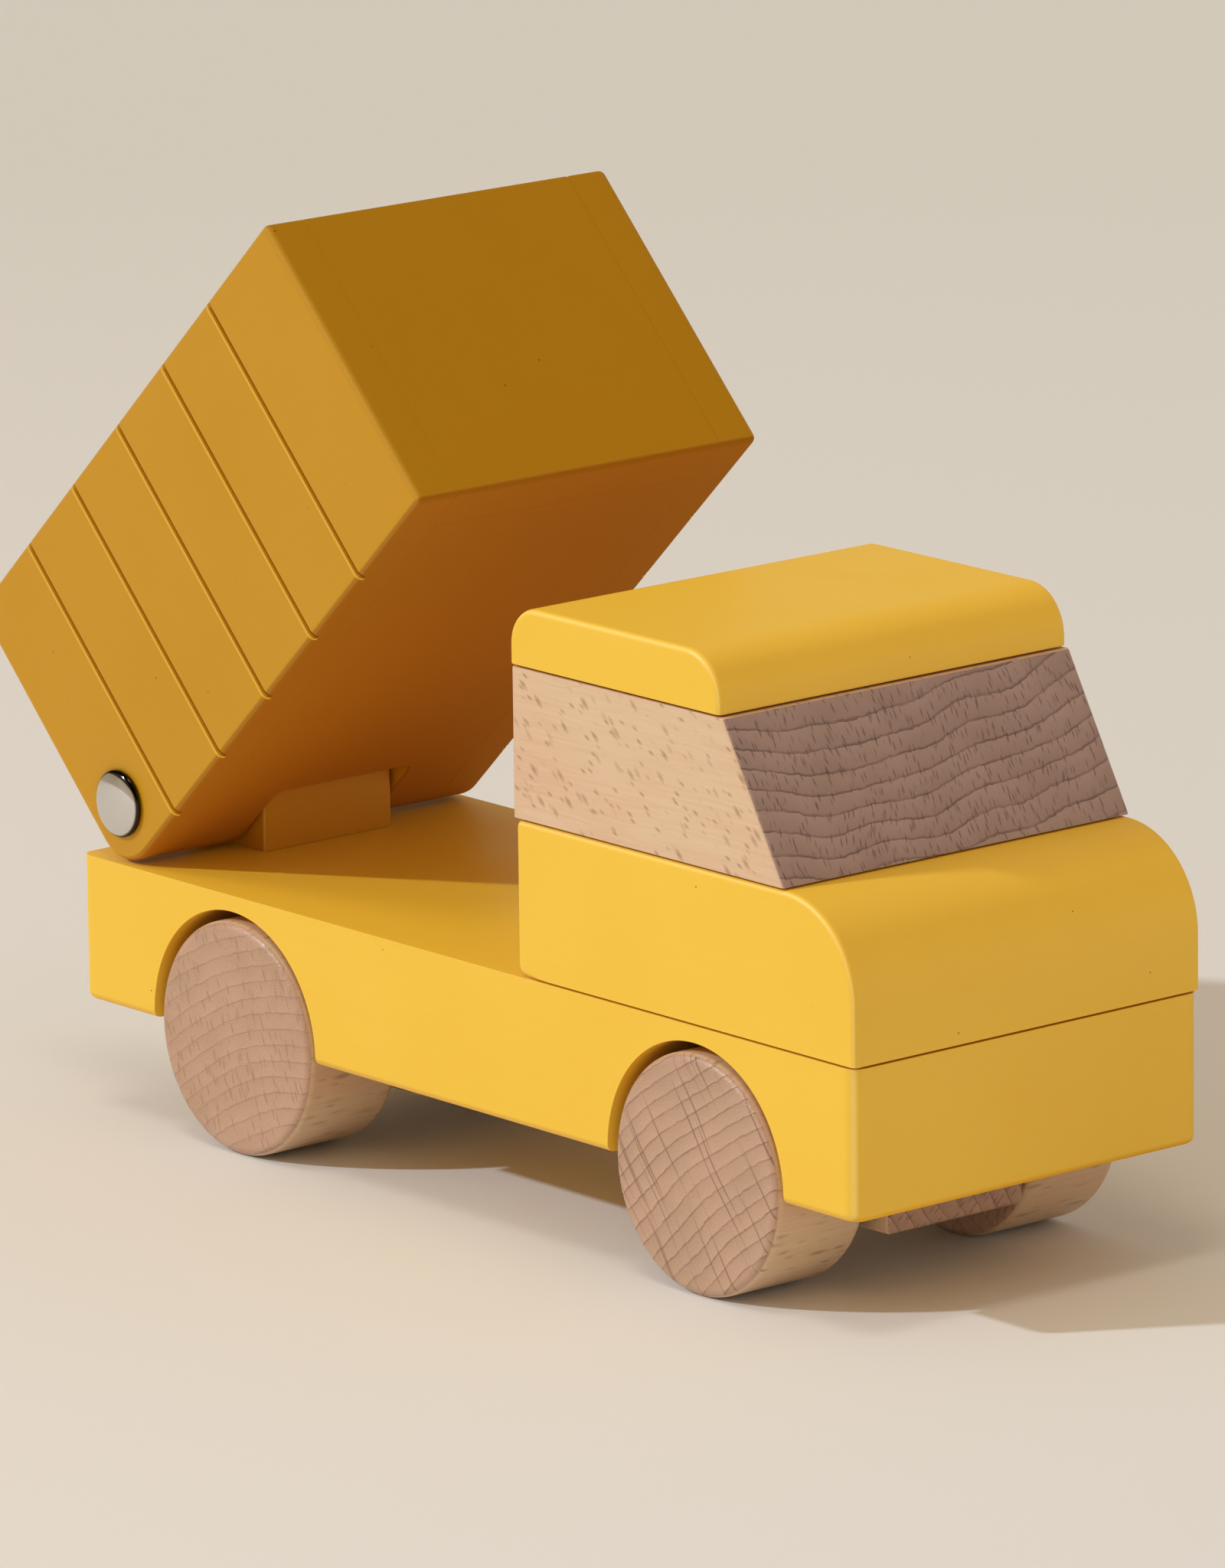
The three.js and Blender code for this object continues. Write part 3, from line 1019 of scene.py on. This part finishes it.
# Hinge block ----------------------------------------------------------------------------------
# A painted block glued and screwed on the deck at the rear. It stands in the slot in the hopper's
# floor, and its top edges are rounded so that the hopper can swing about the pin through it. The
# pin's hole is not cut here, because the pin fills it.

HINGE_TOP_RADIUS = 5 * MM
HINGE_SAND = 0.2 * MM
# The hinge block's yellow is painted deeper than the cab's as painted shade, and darker again on
# its undersides.
HINGE_PAINT_IN_SHADE = ("#D89A12", "#CC8E0C")
HINGE_UNDERSIDE_SHADE = "#BC7C12"

low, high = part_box("hinge_block")
hinge = start_block("hinge", (low.x, low.y, deck), high)
pick(hinge, "EDGE", edge_along(1, (2, high.z)))
round_edges(HINGE_TOP_RADIUS, 10)
ease_rest(hinge, [deck], RAW_EDGE)
leave(hinge)
sand(hinge, HINGE_SAND, 2)
hinge_paint = satin_paint(
    "satin_yellow_paint_on_hinge_block", HINGE_PAINT_IN_SHADE, HINGE_UNDERSIDE_SHADE, ior=1.35
)
dress(hinge, hinge_paint)
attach(hinge, "chassis")
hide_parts("hinge_block")


# Hopper ---------------------------------------------------------------------------------------
# Four painted boards, glued: a thick floor slotted at its rear, a front wall, and two sides whose
# outer faces carry V grooves. It is made level about its pin and then tipped up with the pin.

HOPPER_WIDTH = 70.7 * MM
HOPPER_REAR = -8.7 * MM
HOPPER_FRONT = 99.7 * MM
HOPPER_BOTTOM = -9.5 * MM
HOPPER_RIM = 45.1 * MM
HEEL_RADIUS = 8 * MM
FLOOR_TOP = 9.5 * MM
SIDE_THICKNESS = 8 * MM
FRONT_THICKNESS = 9 * MM
SLOT_WIDTH = 28.4 * MM
SLOT_FRONT = 10.9 * MM
GROOVE_COUNT = 5
GROOVE_START = 10.8 * MM
GROOVE_PITCH = 16.9 * MM
GROOVE_HALF_WIDTH = 0.42 * MM
GROOVE_DEPTH = 1.2 * MM
GROOVE_LIP = 0.12 * MM
HOPPER_EDGE = 1.2 * MM
LIP_HIGHLIGHT_WIDTH = 0.42 * MM
RUT_SHADE_WIDTH = 1.4 * GROOVE_HALF_WIDTH
RUT_SHADE_OFFSET = 0.05 * MM
PIN_HOLE_RADIUS = 2.6 * MM
SLOT_CORNER = 2 * MM
SLOT_EDGE = 0.6 * MM
SLOT_OVERRUN = 5 * MM
JOINT_SAND = 0.05 * MM
HOPPER_PAINT_IN_SHADE = ("#E4AA1E", "#DA9910")  # the same yellow, painted deeper as painted shade over the hopper
# painted shade on the hopper's undersides
HOPPER_UNDERSIDE_SHADE = "#BC7A10"
HOPPER_IOR = 1.38
LIP_HIGHLIGHT_PAINT = "#FCC840"
RUT_SHADE_PAINT = "#A86A0C"

tip = next(j for j in frame["joints"] if j["name"] == "hopper_tip")
pin = Vector(tip["pos_m"])
raised = -math.radians(tip["range_deg"][0])
inner_side = HOPPER_WIDTH / 2 - SIDE_THICKNESS
inner_front = HOPPER_FRONT - FRONT_THICKNESS


def raise_up(piece):
    """Tips the finished level piece about the pin's line and sets it in its place."""
    leave(piece)
    piece.rotation_euler = (0, -raised, 0)
    piece.location = pin
    bpy.ops.object.transform_apply(location=True, rotation=True, scale=True)


hopper_paint = satin_paint(
    "satin_yellow_paint_on_hopper",
    HOPPER_PAINT_IN_SHADE,
    HOPPER_UNDERSIDE_SHADE,
    turn=raised,
    ior=HOPPER_IOR,
    edge=0.0,
)
side_paint = satin_paint(
    "satin_yellow_paint_on_hopper_sides",
    HOPPER_PAINT_IN_SHADE,
    HOPPER_UNDERSIDE_SHADE,
    turn=raised,
    ior=HOPPER_IOR,
    edge=0.15,
)

# the sides' paint carries a painted highlight, a pale band on each groove's rear lip, and painted
# shade, a dark band deep in the groove
side_place = node(side_paint, "TexCoord").outputs["Object"]
level_place = node(
    side_paint,
    "Mapping",
    Vector=side_place,
    Rotation=(0, raised, 0),
    Location=-(Euler((0, raised, 0)).to_matrix() @ pin),
)
level_parts = node(side_paint, "SeparateXYZ", Vector=level_place.outputs[0])
along_side = level_parts.outputs[0]
last_groove = GROOVE_START + (GROOVE_COUNT - 1) * GROOVE_PITCH
grooved = node(
    side_paint,
    "Math",
    {"operation": "COMPARE"},
    i0=along_side,
    i1=(GROOVE_START + last_groove) / 2,
    i2=(last_groove - GROOVE_START) / 2 + 4 * GROOVE_LIP + 2 * GROOVE_HALF_WIDTH,
)
across = node(side_paint, "Math", {"operation": "ABSOLUTE"}, i0=level_parts.outputs[1])
outside = node(
    side_paint,
    "Math",
    {"operation": "GREATER_THAN"},
    i0=across.outputs[0],
    i1=HOPPER_WIDTH / 2 - GROOVE_DEPTH - GROOVE_LIP,
)
grooved_face = node(
    side_paint, "Math", {"operation": "MULTIPLY"}, i0=grooved.outputs[0], i1=outside.outputs[0]
)
from_groove = node(
    side_paint, "Math", {"operation": "ADD"}, i0=along_side, i1=GROOVE_PITCH / 2 - GROOVE_START
)
in_pitch = node(
    side_paint,
    "Math",
    {"operation": "FLOORED_MODULO"},
    i0=from_groove.outputs[0],
    i1=GROOVE_PITCH,
)
coating = side_paint.node_tree.nodes["coating"]
tone = coating.inputs["Base Color"].links[0].from_socket
for offset, width, colour in (
    (-GROOVE_HALF_WIDTH - LIP_HIGHLIGHT_WIDTH / 2, LIP_HIGHLIGHT_WIDTH, LIP_HIGHLIGHT_PAINT),
    (RUT_SHADE_OFFSET, RUT_SHADE_WIDTH, RUT_SHADE_PAINT),
):
    band = node(
        side_paint,
        "Math",
        {"operation": "COMPARE"},
        i0=in_pitch.outputs[0],
        i1=GROOVE_PITCH / 2 + offset,
        i2=width / 2,
    )
    share = node(
        side_paint,
        "Math",
        {"operation": "MULTIPLY"},
        i0=band.outputs[0],
        i1=grooved_face.outputs[0],
    )
    tone = node(
        side_paint,
        "Mix",
        {"data_type": "RGBA"},
        i0=share.outputs[0],
        i6=tone,
        i7=linear(colour),
    ).outputs[2]
side_paint.node_tree.links.new(tone, coating.inputs["Base Color"])

for side, name in ((-1, "hopper_right_side"), (1, "hopper_left_side")):
    outer, inner = side * HOPPER_WIDTH / 2, side * inner_side
    board = start_block(
        name + "_board",
        (HOPPER_REAR, min(outer, inner), HOPPER_BOTTOM),
        (HOPPER_FRONT, max(outer, inner), HOPPER_RIM),
    )
    pick(board, "EDGE", edge_along(1, (0, HOPPER_REAR), (2, HOPPER_BOTTOM)))
    round_edges(HEEL_RADIUS, 14)

    def hidden(edge):
        """Edges against the floor and the front wall, which the paint bridges."""
        middle = (edge.verts[0].co + edge.verts[1].co) / 2
        inside = abs(middle.y - inner) < TINY
        return inside and (middle.x > HOPPER_FRONT - TINY or middle.z < HOPPER_RIM - TINY)

    pick(board, "EDGE", lambda e: e.calc_face_angle() > 0.5 and not hidden(e))
    round_edges(HOPPER_EDGE, 4)
    rut = outer - side * GROOVE_DEPTH
    for i in range(GROOVE_COUNT):
        a = GROOVE_START + i * GROOVE_PITCH
        for line in (a - GROOVE_HALF_WIDTH, a, a + GROOVE_HALF_WIDTH):
            bpy.ops.mesh.select_all(action="SELECT")
            bpy.ops.mesh.bisect(plane_co=(line, 0, 0), plane_no=(1, 0, 0))
        pick(board, "VERT", lambda v: abs(v.co.x - a) < TINY and (v.co.y - rut) * side > 0)
        bpy.ops.transform.resize(value=(1, 0, 1), center_override=(0, rut, 0))
    cut_away(board, [bit(PIN_HOLE_RADIUS, (0, -HOPPER_WIDTH, 0), (0, HOPPER_WIDTH, 0))])
    sand(board, GROOVE_LIP, 2)
    raise_up(board)
    dress(board, side_paint)
    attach(board, "hopper")
    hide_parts(name)

wall = start_block(
    "hopper_front_wall_board",
    (inner_front, -inner_side, HOPPER_BOTTOM),
    (HOPPER_FRONT, inner_side, HOPPER_RIM),
)
at_front, at_rim = edge_along(1, (0, HOPPER_FRONT)), edge_along(1, (2, HOPPER_RIM))
pick(wall, "EDGE", lambda edge: at_front(edge) or at_rim(edge))
round_edges(HOPPER_EDGE, 4)
leave(wall)
sand(wall, JOINT_SAND, 1, 80)
raise_up(wall)
dress(wall, hopper_paint)
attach(wall, "hopper")
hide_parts("hopper_front_wall")

floor_board = start_block(
    "hopper_floor_board",
    (HOPPER_REAR, -inner_side, HOPPER_BOTTOM),
    (inner_front, inner_side, FLOOR_TOP),
)
pick(floor_board, "EDGE", edge_along(1, (0, HOPPER_REAR), (2, HOPPER_BOTTOM)))
round_edges(HEEL_RADIUS, 14)
pick(floor_board, "EDGE", edge_along(1, (0, HOPPER_REAR), (2, FLOOR_TOP)))
round_edges(HOPPER_EDGE, 4)
leave(floor_board)
slot_cutter = start_block(
    "bit",
    (HOPPER_REAR - SLOT_OVERRUN, -SLOT_WIDTH / 2, HOPPER_BOTTOM - SLOT_OVERRUN),
    (SLOT_FRONT, SLOT_WIDTH / 2, FLOOR_TOP + SLOT_OVERRUN),
)
pick(slot_cutter, "EDGE", edge_along(2, (0, SLOT_FRONT)))
round_edges(SLOT_CORNER, 6)
leave(slot_cutter)
pin_bit = bit(PIN_HOLE_RADIUS, (0, -HOPPER_WIDTH, 0), (0, HOPPER_WIDTH, 0))
cut_away(floor_board, [slot_cutter, pin_bit])
bpy.ops.object.mode_set(mode="EDIT")
pick(
    floor_board,
    "EDGE",
    lambda e: e.is_manifold
    and e.calc_face_angle() > 0.5
    and all(abs(v.co.y) < inner_side - TINY and v.co.x < SLOT_FRONT + TINY for v in e.verts)
    and all(math.hypot(v.co.x, v.co.z) > PIN_HOLE_RADIUS + TINY for v in e.verts),
)
round_edges(SLOT_EDGE, 3)
leave(floor_board)
sand(floor_board, JOINT_SAND, 1, 80)
raise_up(floor_board)
dress(floor_board, hopper_paint)
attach(floor_board, "hopper")
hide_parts("hopper_floor")


# Hinge pin and caps ---------------------------------------------------------------------------
# A drawn steel rod through the hopper's sides and the hinge block, as packed, with a polished,
# nickel-plated push-on cap on each end.

CAP_RADIUS = 5.6 * MM
CAP_RIM = 0.3 * MM
CAP_RIM_SHADE = (0.55 * MM, 0.25 * MM)  # how far in from the foot it starts and is full
DOME_STEPS = 12
NICKEL = "#D8D6D2"
PAINTED_RIM_SHADE = "#3A3026"

dress(frame["nodes"]["hinge_pin"], zinc)

nickel = start_material("polished_nickel_plate")
nickel_place = node(nickel, "TexCoord").outputs["Object"]
nickel_haze = node(nickel, "TexNoise", Vector=nickel_place, Scale=1 / (1.2 * MM), Detail=3.0)
nickel_rough = node(nickel, "MapRange", Value=nickel_haze.outputs["Fac"], To_Min=0.05, To_Max=0.1)
nickel_bump = node(
    nickel, "Bump", Height=nickel_haze.outputs["Fac"], Strength=0.1, Distance=0.03 * MM
)
# painted shade and painted reflection: a dark ring round the cap's foot
from_pin = node(
    nickel, "Mapping", Vector=nickel_place, Location=(-pin.x, 0, -pin.z), Scale=(1, 0, 1)
)
reach = node(nickel, "VectorMath", {"operation": "LENGTH"}, i0=from_pin.outputs[0])
rim_shaded = node(
    nickel,
    "MapRange",
    Value=reach.outputs["Value"],
    From_Min=CAP_RADIUS - CAP_RIM_SHADE[0],
    From_Max=CAP_RADIUS - CAP_RIM_SHADE[1],
)
nickel_colour = node(
    nickel,
    "Mix",
    {"data_type": "RGBA"},
    i0=rim_shaded.outputs[0],
    i6=linear(NICKEL),
    i7=linear(PAINTED_RIM_SHADE),
)
finish_material(
    nickel,
    node(
        nickel,
        "BsdfPrincipled",
        Base_Color=nickel_colour.outputs[2],
        Metallic=1.0,
        Roughness=nickel_rough.outputs[0],
        Normal=nickel_bump.outputs[0],
    ),
)

for side, name in ((-1, "right_pin_cap"), (1, "left_pin_cap")):
    low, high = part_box(name)
    centre = (low + high) / 2
    radius = (high.z - low.z) / 2
    flat = high.y if side < 0 else low.y
    height = high.y - low.y
    rim = flat + side * CAP_RIM
    cap = start_rod(name + "_domed", radius, (pin.x, flat, pin.z), (pin.x, rim, pin.z), 64)
    pick(cap, "FACE", lambda face: face.normal.y * side > 0.99)
    for step in range(1, DOME_STEPS):
        angle = math.pi / 2 * step / DOME_STEPS
        before = math.pi / 2 * (step - 1) / DOME_STEPS
        rise = (height - CAP_RIM) * (math.sin(angle) - math.sin(before))
        shrink = math.cos(angle) / math.cos(before)
        bpy.ops.mesh.extrude_region_move(TRANSFORM_OT_translate={"value": (0, side * rise, 0)})
        bpy.ops.transform.resize(
            value=(shrink, 1, shrink), center_override=(pin.x, 0, pin.z)
        )
    leave(cap)
    bpy.ops.object.mode_set(mode="EDIT")
    bpy.ops.mesh.select_all(action="SELECT")
    bpy.ops.mesh.normals_make_consistent(inside=False)
    leave(cap)
    bpy.ops.object.shade_smooth_by_angle(angle=math.radians(40))
    dress(cap, nickel)
    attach(cap, "hopper")
    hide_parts(name)


# Studio ---------------------------------------------------------------------------------------
# A wide sweep of pale cream paper, turned up far away on all sides, a warm key light from the
# truck's rear right and soft light all round. Flags keep part of the light off the hopper. The
# paper carries painted light and shade: lighter to the left, darker far off.

PAPER = "#DDDFE0"
PAPER_LIT_LEFT = "#ECECEA"
PAPER_SHADED_FAR = "#D4D5D1"
TO_THE_BACK = (-0.77, 0.64, 0)
TO_THE_RIGHT = (0.64, 0.77, 0)
SWEEP_RADIUS = 5.0
SWEEP_CURVE = 2.0
SWEEP_STEPS = 8
ROOM = "#FFCE94"
ROOM_STRENGTH = 0.24
ROOM_STRENGTH_IN_GLOSS = 0.05

clear_bench()
bpy.ops.mesh.primitive_circle_add(vertices=96, radius=SWEEP_RADIUS, fill_type="NGON")
paper_sweep = bpy.context.object
paper_sweep.name = "paper_sweep"
bpy.ops.object.mode_set(mode="EDIT")
bpy.ops.mesh.select_all(action="SELECT")
bpy.ops.mesh.extrude_edges_move(TRANSFORM_OT_translate={"value": (0, 0, 0)})
for step in range(1, SWEEP_STEPS + 1):
    angle = math.pi / 2 * step / SWEEP_STEPS
    before = math.pi / 2 * (step - 1) / SWEEP_STEPS
    edge = SWEEP_RADIUS + SWEEP_CURVE * math.sin(before)
    grow = (SWEEP_RADIUS + SWEEP_CURVE * math.sin(angle)) / edge
    lift = SWEEP_CURVE * (math.cos(before) - math.cos(angle))
    if step > 1:
        bpy.ops.mesh.extrude_edges_move(TRANSFORM_OT_translate={"value": (0, 0, 0)})
    bpy.ops.transform.resize(value=(grow, grow, 1), center_override=(0, 0, 0))
    bpy.ops.transform.translate(value=(0, 0, lift))
leave(paper_sweep)
bpy.ops.object.shade_smooth()
paper = start_material("cream_studio_paper")
paper_place = node(paper, "TexCoord").outputs["Object"]
paper_tooth = node(paper, "TexNoise", Vector=paper_place, Scale=1 / (1.5 * MM), Detail=2.0)
paper_bump = node(
    paper, "Bump", Height=paper_tooth.outputs["Fac"], Strength=0.1, Distance=0.05 * MM
)
# painted light and shade: the paper is lighter to the left and darker far away
paper_parts = node(
    paper,
    "VectorMath",
    {"operation": "DOT_PRODUCT"},
    i0=paper_place,
    i1=TO_THE_BACK,
)
paper_far_shade = node(
    paper, "MapRange", Value=paper_parts.outputs["Value"], From_Min=-0.25, From_Max=0.9
)
paper_side = node(
    paper,
    "VectorMath",
    {"operation": "DOT_PRODUCT"},
    i0=paper_place,
    i1=TO_THE_RIGHT,
)
paper_left_light = node(
    paper, "MapRange", Value=paper_side.outputs["Value"], From_Min=0.2, From_Max=-0.25
)
paper_near = node(
    paper,
    "Mix",
    {"data_type": "RGBA"},
    i0=paper_left_light.outputs[0],
    i6=linear(PAPER),
    i7=linear(PAPER_LIT_LEFT),
)
paper_tone = node(
    paper,
    "Mix",
    {"data_type": "RGBA"},
    i0=paper_far_shade.outputs[0],
    i6=paper_near.outputs[2],
    i7=linear(PAPER_SHADED_FAR),
)
finish_material(
    paper,
    node(
        paper,
        "BsdfPrincipled",
        Base_Color=paper_tone.outputs[2],
        Roughness=0.85,
        IOR=1.4,
        Normal=paper_bump.outputs[0],
    ),
)
dress(paper_sweep, paper)

bpy.context.scene.view_settings.view_transform = "Standard"

world = bpy.data.worlds.new("dim_room")
bpy.context.scene.world = world
world.use_nodes = True
world.node_tree.nodes.clear()
seen_in_gloss = node(world, "LightPath").outputs["Is Glossy Ray"]
room_light = node(
    world,
    "MapRange",
    Value=seen_in_gloss,
    To_Min=ROOM_STRENGTH,
    To_Max=ROOM_STRENGTH_IN_GLOSS,
)
room = node(world, "Background", Color=linear(ROOM), Strength=room_light.outputs[0])
node(world, "OutputWorld", Surface=room.outputs[0])

hopper_flag = bpy.data.collections.new("flagged_hopper")
for piece in bpy.context.scene.objects:
    if piece.type == "MESH" and (piece.get("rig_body") == "hopper" or piece is hinge):
        hopper_flag.objects.link(piece)
for member in hopper_flag.collection_objects:
    member.light_linking.link_state = "EXCLUDE"

KEY_FROM = Vector((-0.431, -0.713, 0.553))
LIGHTS = (
    ("key", KEY_FROM, 2.2, 0.93, "#F2F8FF", False),
    ("key_flagged", KEY_FROM, 2.2, 0.86, "#F2F8FF", True),
    ("softbox", Vector((0.10, -0.25, 0.96)), 16, 0.42, "#FFF0D6", False),
    ("overhead_flagged", Vector((0.05, -0.1, 1)), 150, 0.88, "#FFFFF8", True),
    ("front_flagged", Vector((0.8, -0.2, 0.3)), 110, 0.36, "#FFB86C", True),
)
for name, source, spread, strength, colour, flagged in LIGHTS:
    data = bpy.data.lights.new(name, "SUN")
    data.angle = math.radians(spread)
    data.energy = strength
    data.color = linear(colour)[:3]
    lamp = bpy.data.objects.new(name, data)
    bpy.context.scene.collection.objects.link(lamp)
    lamp.rotation_euler = source.to_track_quat("Z", "Y").to_euler()
    if flagged:
        lamp.light_linking.receiver_collection = hopper_flag


# Camera ---------------------------------------------------------------------------------------
# A long lens from the truck's front right, a little above it and slightly rolled.

CAMERA_PLACE = Vector((1.42571, -1.19162, 0.50403))
CAMERA_AZIMUTH = 49.905
CAMERA_ELEVATION = 13.340
CAMERA_ROLL = -0.690
CAMERA_LENS = 273.44

azimuth, elevation = math.radians(CAMERA_AZIMUTH), math.radians(CAMERA_ELEVATION)
back = Vector(
    (
        math.sin(azimuth) * math.cos(elevation),
        -math.cos(azimuth) * math.cos(elevation),
        math.sin(elevation),
    )
)
right = Vector((0, 0, 1)).cross(back).normalized()
up = back.cross(right)
turn = math.radians(CAMERA_ROLL)
rolled_right = right * math.cos(turn) + up * math.sin(turn)
rolled_up = up * math.cos(turn) - right * math.sin(turn)
lens = bpy.data.cameras.new("camera")
lens.lens = CAMERA_LENS
lens.sensor_width = 36
lens.clip_start = 0.1
lens.clip_end = 30
camera = bpy.data.objects.new("camera", lens)
bpy.context.scene.collection.objects.link(camera)
pose = Matrix((rolled_right, rolled_up, back)).transposed().to_4x4()
pose.translation = CAMERA_PLACE
camera.matrix_world = pose
bpy.context.scene.camera = camera
